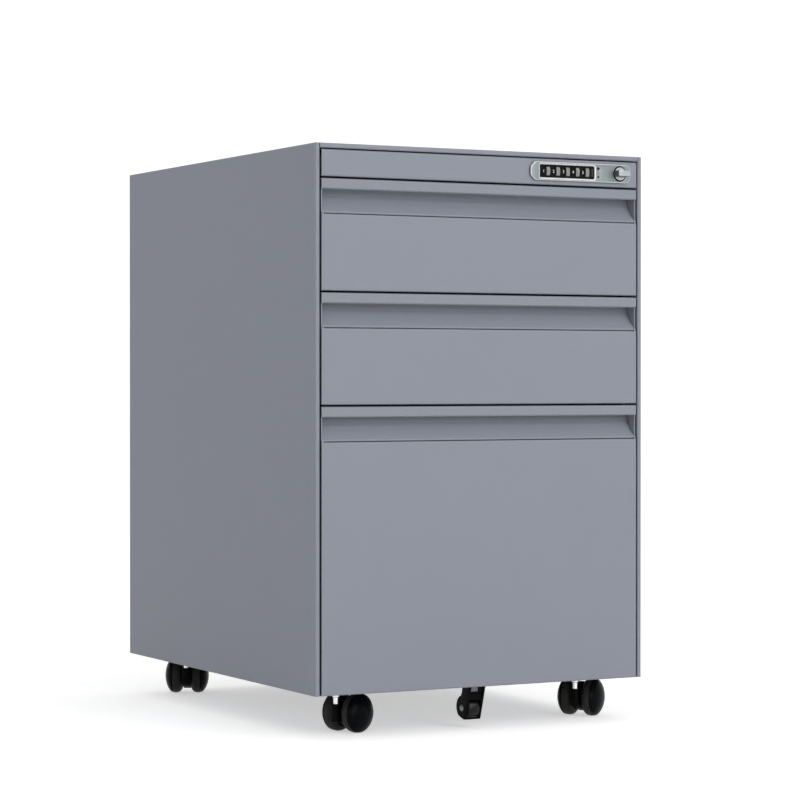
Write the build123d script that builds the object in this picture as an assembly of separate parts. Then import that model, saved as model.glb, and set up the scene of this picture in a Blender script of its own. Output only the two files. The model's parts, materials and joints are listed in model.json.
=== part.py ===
from build123d import *
import os
from math import cos, pi, radians, sin

# Three-drawer rolling pedestal cabinet: folded steel body, two box drawers and a
# file drawer on telescopic slides, a combination lock with a gang-lock bar, four
# twin-wheel casters and an anti-tip roller under the file drawer.
#
# Millimetres. +Z is up, -Y is the front, and the floor is Z = 0. The origin is on
# the floor, under the middle of the whole object, lock knob included.

os.makedirs("parts", exist_ok=True)

# ---------------------------------------------------------------- overall size
WIDTH = 390.0
DEPTH = 495.0
HEIGHT = 605.0
UNDERSIDE = 46.0
KNOB_REACH = 13.0
FRONT = (KNOB_REACH - DEPTH) / 2
BACK = FRONT + DEPTH
HALF = WIDTH / 2

# ---------------------------------------------------------------- sheet metal
SHEET = 1.0
HALF_SHEET = SHEET / 2
BASE_SHEET = 1.2
BEND = 0.9
SOFT_EDGE = 0.6

# ---------------------------------------------------------------- body
RIM = 5.0
RIM_RETURN = 34.0
TOP_RIM_RETURN = 21.0
TOP_REAR_DROP = 15.0
REAR_FLANGE = 13.0
REAR_SEAM = 0.1
BASE_FLANGE = 22.0
BASE_SET_BACK = 19.5
SWAGE_DEPTH = 2.5
SWAGE_HALF = 20.0
SWAGE_SLOPE = 4.0
OPENING = HALF - RIM
GAP = 2.0
FRONT_HALF = OPENING - GAP
SEAM = 1.3

# ---------------------------------------------------------------- fronts, by height
RAIL_TOP = HEIGHT - RIM - SEAM
RAIL_BOTTOM = HEIGHT - 33.5
RAIL_DEPTH = 15.0
BOX_FRONT = 113.5
TOP_DRAWER = (RAIL_BOTTOM - GAP - BOX_FRONT, RAIL_BOTTOM - GAP)
MIDDLE_DRAWER = (TOP_DRAWER[0] - GAP - BOX_FRONT, TOP_DRAWER[0] - GAP)
FILE_DRAWER = (UNDERSIDE, MIDDLE_DRAWER[0] - GAP)

# ---------------------------------------------------------------- finger pull of each front
LIP = 10.6
LIP_DEPTH = 6.0
LIP_HEM = 6.6
PULL_HEIGHT = 36.0
PULL_DEPTH = 17.5
PULL_SET_BACK = 1.6
SCOOP_STEPS = 4
SCOOP_POWER = 1.5
FOLD_GAP = 0.8
FOLD_DEPTH = 5.0
FRONT_BACK = 18.5
CHEEK_RETURN = 14.0
BOTTOM_RETURN = 10.0
BOTTOM_HEM = 10.0

# ---------------------------------------------------------------- drawer trays
TRAY_HALF = 177.3
TRAY_FRONT = FRONT + FRONT_BACK
TRAY_LENGTH = 447.0
TRAY_RIM = 3.0
TRAY_BELOW_FRONT_TOP = 9.5
BOX_TRAY_HEIGHT = 94.0
FILE_TRAY_HEIGHT = 262.0
HANGING_RAIL_X = (166.0, 168.0)
HANGING_RAIL_DROP = (16.0, 2.0)

# ---------------------------------------------------------------- telescopic slides
SLIDE_FRONT = FRONT + 36.0
SLIDE_LENGTH = 440.0
MIDDLE_MEMBER_SETBACK = 4.0
MIDDLE_MEMBER_LENGTH = 400.0
DRAWER_MEMBER_LENGTH = 428.0
SLIDE_SHEET = 1.2
RACE = 2.0
SLIDE_BELOW_TRAY_TOP = 60.0
FILE_SLIDE_BELOW_TRAY_TOP = 120.0
# Each member: the plane of its web, how far its flanges reach, its half height.
CABINET_MEMBER = (OPENING, OPENING - 10.4, 22.8)
MIDDLE_MEMBER = (OPENING - 4.3, OPENING - 11.0, 18.2)
DRAWER_MEMBER = (TRAY_HALF, TRAY_HALF + 6.2, 13.7)
UPRIGHT_Y = (FRONT + 38.0, FRONT + 420.0)
UPRIGHT_FOOT = 9.0
UPRIGHT_SLOPE = 2.0
UPRIGHT_CROWN = 24.0

# ---------------------------------------------------------------- lock
LOCK_Z = HEIGHT - 19.3
BEZEL_X = (55.2, 178.8)
BEZEL_HEIGHT = 19.8
BEZEL_PROUD = 3.0
BEZEL_CLIP = 5.3
BEZEL_ROUND = 6.0
BEZEL_BEVEL = 1.0
BEZEL_HOLE_X = 138.5
BEZEL_HOLE_DEPTH = 2.5
RESET_HOLE = (4.5, 1.6)
PIN_HOLE = (-4.4, 1.1)
WINDOW_X = (66.4, 133.7)
WINDOW_MIDDLE = (WINDOW_X[0] + WINDOW_X[1]) / 2
WINDOW_WIDTH = WINDOW_X[1] - WINDOW_X[0]
WINDOW_HEIGHT = 13.5
WINDOW_SHEET = 1.5
DIAL_COUNT = 5
DIAL_PITCH = 12.1
DIAL_FIRST_X = 77.2
DIAL_RADIUS = 9.0
DIAL_WIDTH = 4.2
DIAL_FLAT = 14.0
DIAL_NOTCH = 0.9
DIAL_SLOT = DIAL_WIDTH + 0.8
DIAL_AXIS_Y = FRONT - BEZEL_PROUD + DIAL_RADIUS
SHAFT_RADIUS = 1.5
CASE_HALF = 10.6
CASE_Y = (FRONT + 1.7, FRONT + 17.0)
NECK_HALF = 7.6
KNOB_X = 165.6
KNOB_RADIUS = 7.9
KNOB_DISC = 4.0
# Grip of the knob: distance in front of the rail, half length, half thickness.
GRIP = ((KNOB_DISC, 7.5, 3.8), (KNOB_REACH - 0.8, 7.0, 3.2), (KNOB_REACH, 6.4, 2.6))
SPINDLE_RADIUS = 4.0
SPINDLE_END = 18.3
CAM_RADIUS = 8.6
CAM_SHEET = 2.5
CRANK = 6.4
CRANK_PIN = 1.9
CRANK_START = -45.0

# ---------------------------------------------------------------- gang-lock bar
# It runs down the right-hand side behind the drawer fronts.
BAR_X = (187.0, 189.0)
BAR_Y = (FRONT + 23.0, FRONT + 31.0)
HOOK_Y = (FRONT + 23.0, FRONT + 25.0)
HOOK_INNER_X = 181.0
HOOK_HEIGHT = 8.0
ARM_HALF = 6.0
CATCH_Y = FRONT + 28.0
CATCH_FOOT = 17.0
CATCH_TIP_X = 185.0
CATCH_SHEET = 1.2
CATCH_HALF = 3.0
CATCH_TO_HOOK = 2.0
CATCH_BELOW_TRAY_TOP = 16.0
GUIDE_SHEET = 0.8
GUIDE_HEIGHT = 8.0
GUIDE_AIR = 1.4

# ---------------------------------------------------------------- casters
WHEEL_RADIUS = 20.5
WHEEL_SIDES = 22
# Distance out from the caster's middle, and radius: flank, tread, domed cap.
WHEEL_PROFILE = (
    (5.0, 15.2), (8.6, 19.8), (12.0, 20.5), (15.0, 20.5), (18.4, 18.6), (22.6, 13.0), (25.0, 5.0),
)
AXLE_RADIUS = 3.0
AXLE_HALF = 18.0
BORE_END = 20.5
RUNNING_FIT = 0.07
CASTER_TRAIL = 18.5
CASTER_X = 145.0
FRONT_CASTER_Y = FRONT + 54.0
REAR_CASTER_Y = BACK - 50.0
HOOD_TOP = 30.5
HOOD_HALF = WHEEL_PROFILE[0][0] - 0.7
HUB_RADIUS = 14.2
FENDER_RADIUS = 16.5
BOSS_RADIUS = 5.6
BOSS_BOTTOM = 12.0
SOCKET_BOTTOM = 14.0
STEM_BOTTOM = 14.3
STEM_RADIUS = 2.9
COLLAR_RADIUS = 4.9
COLLAR_Z = (37.5, 41.0)
NUT_HALF = 6.5
PLATE_HALF = 28.0
PLATE_SHEET = 3.0
CASTERS = {
    "front_left": (-CASTER_X, FRONT_CASTER_Y, -68.0),
    "front_right": (CASTER_X, FRONT_CASTER_Y, -52.0),
    "rear_left": (-CASTER_X, REAR_CASTER_Y, -28.0),
    "rear_right": (CASTER_X, REAR_CASTER_Y, -70.0),
}

# ---------------------------------------------------------------- anti-tip roller
ROLLER_RADIUS = 11.0
ROLLER_Y = FRONT + 30.0
ROLLER_Z = 21.3
ROLLER_AIR = 0.4
RIVET_RADIUS = 2.0
RIVET_HEAD = (3.6, 1.4)
FORK_HALF = 9.5
CHEEK = 2.4
FORK_TOP = 58.0
FORK_LOBE = 12.2
FORK_WEB_Y = (FRONT + 17.5, FRONT + 20.0)
FORK_WEB_Z = (30.0, 38.8)
STRAP = 2.0
STRAP_HALF = 4.2
STRAP_Y = FORK_WEB_Y[1] + STRAP / 2
STRAP_FOOT = 22.0
STRAP_END_Z = 36.5
NOTCH_HALF = 13.0
NOTCH_DEPTH = 52.0

# Clear of everything: how far a cutting shape runs past the piece it cuts.
PAST = 1.0


# ---------------------------------------------------------------- building helpers
def block(x, y, z):
    """Rectangular solid between (low, high) pairs."""
    size = [high - low for low, high in (x, y, z)]
    middle = [(high + low) / 2 for low, high in (x, y, z)]
    return Pos(*middle) * Box(*size)


def along(axis, start, shape):
    """Turn a shape made along +Z to run along an axis from a start point."""
    turn = {"X": (0, 90, 0), "Y": (-90, 0, 0), "Z": (0, 0, 0)}[axis]
    return Pos(*start) * Rot(*turn) * shape


def rod(axis, start, length, radius):
    """Round bar, or the cutter for a round bore."""
    bottom = (Align.CENTER, Align.CENTER, Align.MIN)
    return along(axis, start, Cylinder(radius, length, align=bottom))


def prism(axis, start, length, radius, sides=12):
    """Bar with flat sides, each one `radius` from its axis."""
    return along(axis, start, extrude(RegularPolygon(radius, sides, major_radius=False), amount=length))


def faceted(rings):
    """Solid of flat facets through a row of rings, each a list of as many points."""
    faces = [Face(Wire.make_polygon(ring)) for ring in (rings[0], rings[-1])]
    for near, far in zip(rings, rings[1:]):
        for step in range(len(near)):
            corners = [near[step], near[step - 1], far[step - 1], far[step]]
            faces.append(Face(Wire.make_polygon(corners)))
    return Solid(Shell(faces))


def turned(profile, sides):
    """Turning around the X axis in flat facets, from (x, radius) pairs."""
    angles = [2 * pi * step / sides for step in range(sides)]
    return faceted([[Vector(x, r * cos(angle), r * sin(angle)) for angle in angles] for x, r in profile])


def folded(points, thickness):
    """Section of a folded sheet, from points on its middle surface.

    A third number on a point cuts its corner back by that much.
    """
    line = []
    for index, (across, up, *cut) in enumerate(points):
        corner = Vector(across, up)
        if not cut:
            line.append(corner)
            continue
        for neighbour in (points[index - 1], points[index + 1]):
            toward = Vector(*neighbour[:2]) - corner
            line.append(corner + toward.normalized() * cut[0])
    return trace(Polyline(*line), line_width=thickness)


def sheet_along_x(points, x, thickness=SHEET):
    """Sheet with a (y, z) section, running between two x values."""
    return extrude(Plane.YZ.offset(x[0]) * folded(points, thickness), amount=x[1] - x[0])


def sheet_along_y(points, y, thickness=SHEET):
    """Sheet with an (x, z) section, running between two y values."""
    return extrude(Plane.XZ.offset(-y[1]) * folded(points, thickness), amount=y[1] - y[0])


def sheet_along_z(points, z, thickness=SHEET):
    """Sheet with an (x, y) section, running between two z values."""
    return extrude(Plane.XY.offset(z[0]) * folded(points, thickness), amount=z[1] - z[0])


def solids_of(shape):
    return list(shape.solids())


def group(shapes):
    """Separate solids kept together in one node."""
    return Compound(children=[solid for shape in shapes for solid in solids_of(shape)])


def both_sides(shape):
    """A right-hand piece together with its left-hand mirror image."""
    return group([shape, mirror(shape, about=Plane.YZ)])


def save(name, shape):
    export_step(shape, f"parts/{name}.step")


# ---------------------------------------------------------------- body
def side_panel():
    """Right-hand side: rim return, rim, side wall, rear flange."""
    rim_inner = OPENING + HALF_SHEET
    wall = HALF - HALF_SHEET
    section = [
        (rim_inner, FRONT + RIM_RETURN),
        (rim_inner, FRONT + HALF_SHEET, BEND),
        (wall, FRONT + HALF_SHEET, BEND),
        (wall, BACK - HALF_SHEET, BEND),
        (HALF - REAR_FLANGE, BACK - HALF_SHEET),
    ]
    return sheet_along_z(section, (UNDERSIDE, HEIGHT - SHEET))


def top_panel():
    """Roof sheet with its front rim and rear flange."""
    roof = block((-HALF, HALF), (FRONT, BACK), (HEIGHT - SHEET, HEIGHT))
    roof = chamfer(roof.edges().filter_by(Axis.Z), BEND)
    roof = chamfer(roof.faces().sort_by(Axis.Z)[-1].edges(), SOFT_EDGE)
    rim_floor = HEIGHT - RIM + HALF_SHEET
    rim = [
        (FRONT + HALF_SHEET, HEIGHT - SHEET),
        (FRONT + HALF_SHEET, rim_floor, BEND),
        (FRONT + TOP_RIM_RETURN, rim_floor),
    ]
    rear_half = HALF - REAR_FLANGE - REAR_SEAM
    rear_z = (HEIGHT - TOP_REAR_DROP, HEIGHT - SHEET)
    rear = block((-rear_half, rear_half), (BACK - SHEET, BACK), rear_z)
    return roof + sheet_along_x(rim, (-OPENING, OPENING)) + rear


def back_panel():
    """Rear sheet, set inside the flanges, with two shallow stiffening swages."""
    y = BACK - SHEET - HALF_SHEET
    low = UNDERSIDE + BASE_SHEET
    high = HEIGHT - SHEET
    crest = SWAGE_HALF + SWAGE_SLOPE
    section = [(y, low)]
    for share in (1 / 3, 2 / 3):
        middle = low + share * (high - low)
        section += [(y, middle - crest), (y - SWAGE_DEPTH, middle - SWAGE_HALF)]
        section += [(y - SWAGE_DEPTH, middle + SWAGE_HALF), (y, middle + crest)]
    section.append((y, high))
    half = HALF - 2 * SHEET
    return sheet_along_x(section, (-half, half))


def base_panel():
    """Floor of the body, behind the file drawer front: side flanges, notch for the fork."""
    wall = HALF - SHEET - BASE_SHEET / 2
    level = UNDERSIDE + BASE_SHEET / 2
    flange_top = UNDERSIDE + BASE_FLANGE
    section = [(-wall, flange_top), (-wall, level, BEND), (wall, level, BEND), (wall, flange_top)]
    base = sheet_along_y(section, (FRONT + BASE_SET_BACK, BACK - 2 * SHEET), thickness=BASE_SHEET)
    corner_y = (FRONT - PAST, FRONT + RIM_RETURN + REAR_SEAM)
    corner_z = (UNDERSIDE - PAST, flange_top + PAST)
    for corner in ((-HALF, REAR_SEAM - OPENING), (OPENING - REAR_SEAM, HALF)):
        base -= block(corner, corner_y, corner_z)
    notch_y = (FRONT - PAST, FRONT + NOTCH_DEPTH)
    return base - block((-NOTCH_HALF, NOTCH_HALF), notch_y, corner_z)


def lock_rail():
    """Fixed rail over the drawers, folded back above and below, cut out for the lock."""
    y = FRONT + HALF_SHEET
    back = FRONT + RAIL_DEPTH
    low = RAIL_BOTTOM + HALF_SHEET
    high = RAIL_TOP - HALF_SHEET
    hem = 8.0
    section = [(back, RAIL_BOTTOM + hem), (back, low), (y, low, BEND), (y, high, BEND), (back, high)]
    rail = sheet_along_x(section, (-FRONT_HALF, FRONT_HALF))
    tab_z = (RAIL_BOTTOM + 3, RAIL_TOP - 3)
    tab = block((FRONT_HALF - 14, OPENING), (back - HALF_SHEET, back + HALF_SHEET), tab_z)
    rail = rail + tab + mirror(tab, about=Plane.YZ)
    mouth_z = (LOCK_Z - NECK_HALF - 0.4, LOCK_Z + NECK_HALF + 0.4)
    mouth = block((BEZEL_X[0] + 4, BEZEL_X[1] - 4), (FRONT - PAST, FRONT + 2), mouth_z)
    behind_z = (LOCK_Z - CASE_HALF - 0.6, LOCK_Z + CASE_HALF + 0.6)
    behind = block((BEZEL_X[0] + 2, OPENING - 6), (FRONT + 2, back + PAST), behind_z)
    return rail - mouth - behind


def slide_uprights():
    """Four vertical hat channels that carry the slides, welded inside the side walls."""
    foot = HALF - SHEET - HALF_SHEET
    web = OPENING + HALF_SHEET
    uprights = []
    for y in UPRIGHT_Y:
        rise = y + UPRIGHT_FOOT
        crown = rise + UPRIGHT_SLOPE
        crown_end = crown + UPRIGHT_CROWN
        fall = crown_end + UPRIGHT_SLOPE
        section = [(foot, y), (foot, rise), (web, crown)]
        section += [(web, crown_end), (foot, fall), (foot, fall + UPRIGHT_FOOT)]
        channel = sheet_along_z(section, (UNDERSIDE + BASE_FLANGE + 2, HEIGHT - 8))
        uprights.append(both_sides(channel))
    return group(uprights)


# ---------------------------------------------------------------- slides
def slide_member(section_size, y):
    """Pair of channels, each corner cut to a ball race."""
    web_x, lip_x, half_height = section_size
    sign = 1 if web_x > lip_x else -1
    web = web_x - sign * SLIDE_SHEET / 2
    edge = half_height - SLIDE_SHEET / 2
    section = [(lip_x, -edge), (web, -edge, RACE), (web, edge, RACE), (lip_x, edge)]
    return both_sides(sheet_along_y(section, y, thickness=SLIDE_SHEET))


def cabinet_slides(levels):
    pair = slide_member(CABINET_MEMBER, (SLIDE_FRONT, SLIDE_FRONT + SLIDE_LENGTH))
    return group([Pos(0, 0, z) * pair for z in levels])


def middle_slides(z):
    front = SLIDE_FRONT + MIDDLE_MEMBER_SETBACK
    return Pos(0, 0, z) * slide_member(MIDDLE_MEMBER, (front, front + MIDDLE_MEMBER_LENGTH))


def drawer_slides(z):
    return Pos(0, 0, z) * slide_member(DRAWER_MEMBER, (SLIDE_FRONT, SLIDE_FRONT + DRAWER_MEMBER_LENGTH))


# ---------------------------------------------------------------- drawers
def scoop(top, bottom):
    """Rear wall of the finger pull, upright at the top and swept out to the face."""
    line = []
    for step in range(SCOOP_STEPS):
        share = step / SCOOP_STEPS
        y = top[0] + (bottom[0] - top[0]) * share ** SCOOP_POWER
        line.append((y, top[1] + (bottom[1] - top[1]) * share))
    return line


def drawer_front(z):
    """Folded front: hollow lip, finger pull behind it, pressed fold, flat face."""
    low, high = z
    face = FRONT + HALF_SHEET
    well = FRONT + PULL_DEPTH
    lip_floor = high - LIP + HALF_SHEET
    fold = high - PULL_HEIGHT
    fold_top = fold + FOLD_GAP + HALF_SHEET
    fold_bottom = fold - HALF_SHEET
    bottom = low + HALF_SHEET
    section = [
        (FRONT + LIP_DEPTH, lip_floor + LIP_HEM),
        (FRONT + LIP_DEPTH, lip_floor),
        (face, lip_floor, BEND),
        (face, high - HALF_SHEET, BEND),
        (well, high - HALF_SHEET),
        *scoop((well, high - LIP - PAST), (face + 0.2, fold_top)),
        (face + 0.2, fold_top, BEND),
        (face + FOLD_DEPTH, fold_top),
        (face + FOLD_DEPTH, fold_bottom),
        (face, fold_bottom, SOFT_EDGE),
        (face, bottom, BEND),
        (FRONT + BOTTOM_RETURN, bottom),
        (FRONT + BOTTOM_RETURN, low + BOTTOM_HEM),
    ]
    panel = sheet_along_x(section, (-FRONT_HALF, FRONT_HALF))
    side = FRONT_HALF - HALF_SHEET
    back = FRONT + FRONT_BACK - HALF_SHEET
    cheek = [(side - CHEEK_RETURN, back), (side, back), (side, face, BEND), (side - 2 * BEND, face)]
    ends = both_sides(sheet_along_z(cheek, (bottom, high - HALF_SHEET)))
    mouth_y = (FRONT - PAST, FRONT + PULL_SET_BACK)
    pull_mouth = block((-HALF, HALF), mouth_y, (fold + 2.5, high - LIP))
    for end in solids_of(ends):
        panel += end - pull_mouth
    return panel


def tray(bottom, top):
    """Open drawer tray with outward-folded side rims."""
    wall = TRAY_HALF - HALF_SHEET
    rim = TRAY_HALF + TRAY_RIM
    floor = bottom + HALF_SHEET
    level = top - HALF_SHEET
    section = [(-rim, level), (-wall, level), (-wall, floor, BEND)]
    section += [(wall, floor, BEND), (wall, level), (rim, level)]
    front = TRAY_FRONT
    back = TRAY_FRONT + TRAY_LENGTH
    body = sheet_along_y(section, (front, back))
    for end in ((front, front + SHEET), (back - SHEET, back)):
        body += block((-wall, wall), end, (floor, top))
    return body


def lock_catch(z):
    """Bent tab on the right of a tray, stopped by a hook of the lock bar."""
    plate = TRAY_HALF + CATCH_SHEET / 2
    section = [(plate, CATCH_Y + CATCH_FOOT), (plate, CATCH_Y), (CATCH_TIP_X, CATCH_Y)]
    return sheet_along_z(section, (z - CATCH_HALF, z + CATCH_HALF), thickness=CATCH_SHEET)


def hanging_rails(top):
    """Two flat rails, front to back, that carry the file drawer's hanging folders."""
    length = (TRAY_FRONT + SHEET, TRAY_FRONT + TRAY_LENGTH - SHEET)
    low, high = HANGING_RAIL_DROP
    return both_sides(block(HANGING_RAIL_X, length, (top - low, top - high)))


# ---------------------------------------------------------------- anti-tip roller
def anti_tip_mount(tray_bottom):
    """Folded steel strap under the file drawer, flat against the back of the fork's web."""
    level = tray_bottom - STRAP / 2
    section = [(STRAP_Y + STRAP_FOOT, level), (STRAP_Y, level), (STRAP_Y, STRAP_END_Z)]
    return sheet_along_x(section, (-STRAP_HALF, STRAP_HALF), thickness=STRAP)


def anti_tip_fork():
    """Moulded fork: two cheeks with a round lobe at the axle, joined by a web."""
    outline = Polyline(
        (FRONT + 11.6, FORK_TOP), (FRONT + 12, 46), (FRONT + 23.5, 9.2), (FRONT + 27, 9.2),
        (ROLLER_Y + 3, 14), (ROLLER_Y, 36), (FRONT + 29, FORK_TOP), close=True,
    )
    lobe = Pos(ROLLER_Y, ROLLER_Z + 0.5) * RegularPolygon(FORK_LOBE, 16)
    inner = FORK_HALF - CHEEK
    cheek = extrude(Plane.YZ.offset(inner) * (make_face(outline) + lobe), amount=CHEEK)
    cheek -= prism("X", (inner - PAST, ROLLER_Y, ROLLER_Z), CHEEK + 2 * PAST, RIVET_RADIUS)
    web = block((-inner, inner), FORK_WEB_Y, FORK_WEB_Z)
    return cheek + mirror(cheek, about=Plane.YZ) + web


def anti_tip_axle():
    """Rivet through both cheeks, with a head at each end."""
    radius, thickness = RIVET_HEAD
    pin = rod("X", (-FORK_HALF, ROLLER_Y, ROLLER_Z), 2 * FORK_HALF, RIVET_RADIUS)
    head = prism("X", (FORK_HALF, ROLLER_Y, ROLLER_Z), thickness, radius)
    return pin + head + mirror(head, about=Plane.YZ)


def anti_tip_roller():
    """Small roller running on the rivet."""
    half = FORK_HALF - CHEEK - ROLLER_AIR
    roller = prism("X", (-half, ROLLER_Y, ROLLER_Z), 2 * half, ROLLER_RADIUS, sides=WHEEL_SIDES)
    return roller - rod("X", (-half, ROLLER_Y, ROLLER_Z), 2 * half, RIVET_RADIUS + RUNNING_FIT)


# ---------------------------------------------------------------- lock
def dial_positions():
    return [DIAL_FIRST_X + DIAL_PITCH * index for index in range(DIAL_COUNT)]


def lock_bezel():
    """Die-cast face plate: clipped left corners, round right corners, bevelled edge."""
    left, right = BEZEL_X
    half = BEZEL_HEIGHT / 2
    clip = half - BEZEL_CLIP
    outline = [(left + BEZEL_CLIP, half), (left, clip), (left, -clip), (left + BEZEL_CLIP, -half)]
    for side in (-1, 1):
        for angle in (-90, -60, -30, 0)[::-side]:
            turn = radians(angle)
            across = right - BEZEL_ROUND + BEZEL_ROUND * cos(turn)
            up = half - BEZEL_ROUND - BEZEL_ROUND * sin(turn)
            outline.append((across, side * up))
    plate = extrude(Plane.XZ * make_face(Polyline(*outline, close=True)), amount=BEZEL_PROUD)
    plate = chamfer(plate.faces().sort_by(Axis.Y)[0].edges(), BEZEL_BEVEL)
    front = -BEZEL_PROUD - PAST
    window_x = (WINDOW_X[0], WINDOW_X[1])
    plate -= block(window_x, (front, PAST), (-WINDOW_HEIGHT / 2, WINDOW_HEIGHT / 2))
    plate -= prism("Y", (KNOB_X, front, 0), BEZEL_PROUD + 2 * PAST, KNOB_RADIUS + 0.5, sides=24)
    for height, radius in (RESET_HOLE, PIN_HOLE):
        plate -= prism("Y", (BEZEL_HOLE_X, front, height), BEZEL_HOLE_DEPTH + PAST, radius)
    return Pos(0, FRONT, LOCK_Z) * plate


def lock_window():
    """Black insert in the bezel, slotted for the dials."""
    fit = 0.1
    insert = Box(WINDOW_WIDTH - fit, WINDOW_SHEET, WINDOW_HEIGHT - fit)
    insert = Pos(WINDOW_MIDDLE, FRONT - WINDOW_SHEET / 2, LOCK_Z) * insert
    for x in dial_positions():
        start = (x - DIAL_SLOT / 2, DIAL_AXIS_Y, LOCK_Z)
        insert -= prism("X", start, DIAL_SLOT, DIAL_RADIUS + 0.4, sides=24)
    return insert


def lock_housing():
    """Lock case behind the rail, bored across for the dials and through for the knob."""
    case_x = (WINDOW_X[0] - 3, BEZEL_X[1] - 2)
    case = block(case_x, CASE_Y, (LOCK_Z - CASE_HALF, LOCK_Z + CASE_HALF))
    case = chamfer(case.edges().filter_by(Axis.Y), 1.5)
    neck_x = (WINDOW_X[0] - 2, BEZEL_X[1] - 5)
    neck_z = (LOCK_Z - NECK_HALF, LOCK_Z + NECK_HALF)
    case += block(neck_x, (FRONT, CASE_Y[0] + PAST), neck_z)
    start = WINDOW_X[0] + 3
    length = WINDOW_WIDTH - 6
    case -= prism("X", (start, DIAL_AXIS_Y, LOCK_Z), length, DIAL_RADIUS + 0.8, sides=24)
    case -= prism("X", (start - 3, DIAL_AXIS_Y, LOCK_Z), length + 6, SHAFT_RADIUS)
    return case - rod("Y", (KNOB_X, FRONT - PAST, LOCK_Z), 20, SPINDLE_RADIUS + RUNNING_FIT)


def dial_shaft():
    start = (WINDOW_X[0] + 0.5, DIAL_AXIS_Y, LOCK_Z)
    return rod("X", start, WINDOW_WIDTH - 1.0, SHAFT_RADIUS)


def dial(x):
    """Ten-sided thumbwheel with a finger notch between each pair of flats."""
    outline = []
    for step in range(10):
        notch = (18, DIAL_RADIUS - DIAL_NOTCH)
        for turn, radius in ((-DIAL_FLAT, DIAL_RADIUS), (DIAL_FLAT, DIAL_RADIUS), notch):
            angle = radians(36 * step + turn)
            outline.append((radius * cos(angle), radius * sin(angle)))
    face = make_face(Polyline(*outline, close=True)) - Circle(SHAFT_RADIUS + RUNNING_FIT)
    wheel = extrude(Plane.YZ.offset(-DIAL_WIDTH / 2) * face, amount=DIAL_WIDTH)
    return Pos(x, DIAL_AXIS_Y, LOCK_Z) * wheel


def grip_ring(depth, half_length, half_thickness):
    """Outline of the knob's grip at one depth: a bar with its corners cut."""
    cut = 2.0
    corners = [(half_length, half_thickness - cut), (half_length - cut, half_thickness)]
    corners += [(-across, up) for across, up in reversed(corners)]
    corners += [(-across, -up) for across, up in corners]
    return [Vector(across, -depth, up) for across, up in corners]


def lock_knob():
    """Turning knob: disc, tapered grip across it, spindle through the case."""
    disc = prism("Y", (0, -KNOB_DISC, 0), KNOB_DISC, KNOB_RADIUS, sides=32)
    grip = faceted([grip_ring(*size) for size in GRIP])
    spindle = rod("Y", (0, 0, 0), SPINDLE_END, SPINDLE_RADIUS)
    return Pos(KNOB_X, FRONT, LOCK_Z) * (disc + grip + spindle)


def lock_cam():
    """Cam on the knob's spindle, with the crank pin that lifts the bar."""
    angle = radians(CRANK_START)
    disc = prism("Y", (0, SPINDLE_END, 0), CAM_SHEET, CAM_RADIUS, sides=16)
    pin_start = (CRANK * cos(angle), SPINDLE_END + CAM_SHEET, CRANK * sin(angle))
    pin = rod("Y", pin_start, 6.7, CRANK_PIN)
    return Pos(KNOB_X, FRONT, LOCK_Z) * (disc + pin)


def lock_bar(catches):
    """Gang-lock bar: slotted arm at the cam, straight strip, one hook for each drawer."""
    angle = radians(CRANK_START)
    pin_z = LOCK_Z + CRANK * sin(angle)
    near = KNOB_X + CRANK * cos(angle)
    far = KNOB_X + CRANK
    arm_z = (pin_z - ARM_HALF, pin_z + ARM_HALF)
    arm = block((KNOB_X - PAST, BAR_X[1]), HOOK_Y, arm_z)
    slot = SlotOverall(far - near + 2 * CRANK_PIN + 0.9, 2 * CRANK_PIN + 0.8)
    slot = extrude(Plane.XZ.offset(-HOOK_Y[1] - PAST) * slot, amount=4)
    slot = Pos((near + far) / 2, 0, pin_z) * slot
    foot = min(catches) - CATCH_HALF - CATCH_TO_HOOK - HOOK_HEIGHT - 6
    bar = arm - slot + block(BAR_X, BAR_Y, (foot, arm_z[1]))
    for catch in catches:
        hook_top = catch - CATCH_HALF - CATCH_TO_HOOK
        bar += block((HOOK_INNER_X, BAR_X[1]), HOOK_Y, (hook_top - HOOK_HEIGHT, hook_top))
    return bar


def bar_guides(levels):
    """Bridge clips that hold the lock bar against the right-hand rim return."""
    foot = OPENING - GUIDE_SHEET / 2
    bridge = BAR_X[0] - GUIDE_SHEET
    near = BAR_Y[0] - GUIDE_AIR
    far = BAR_Y[1] + GUIDE_AIR
    section = [(foot, near - 5), (foot, near), (bridge, near)]
    section += [(bridge, far), (foot, far), (foot, far + 1.6)]
    clips = [sheet_along_z(section, (z, z + GUIDE_HEIGHT), thickness=GUIDE_SHEET) for z in levels]
    return group(clips)


# ---------------------------------------------------------------- casters
def placed(caster, shape):
    """Move a caster piece from its own axes to its place and swivel angle."""
    x, y, angle = CASTERS[caster]
    return Pos(x, y, 0) * Rot(0, 0, angle) * shape


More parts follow.
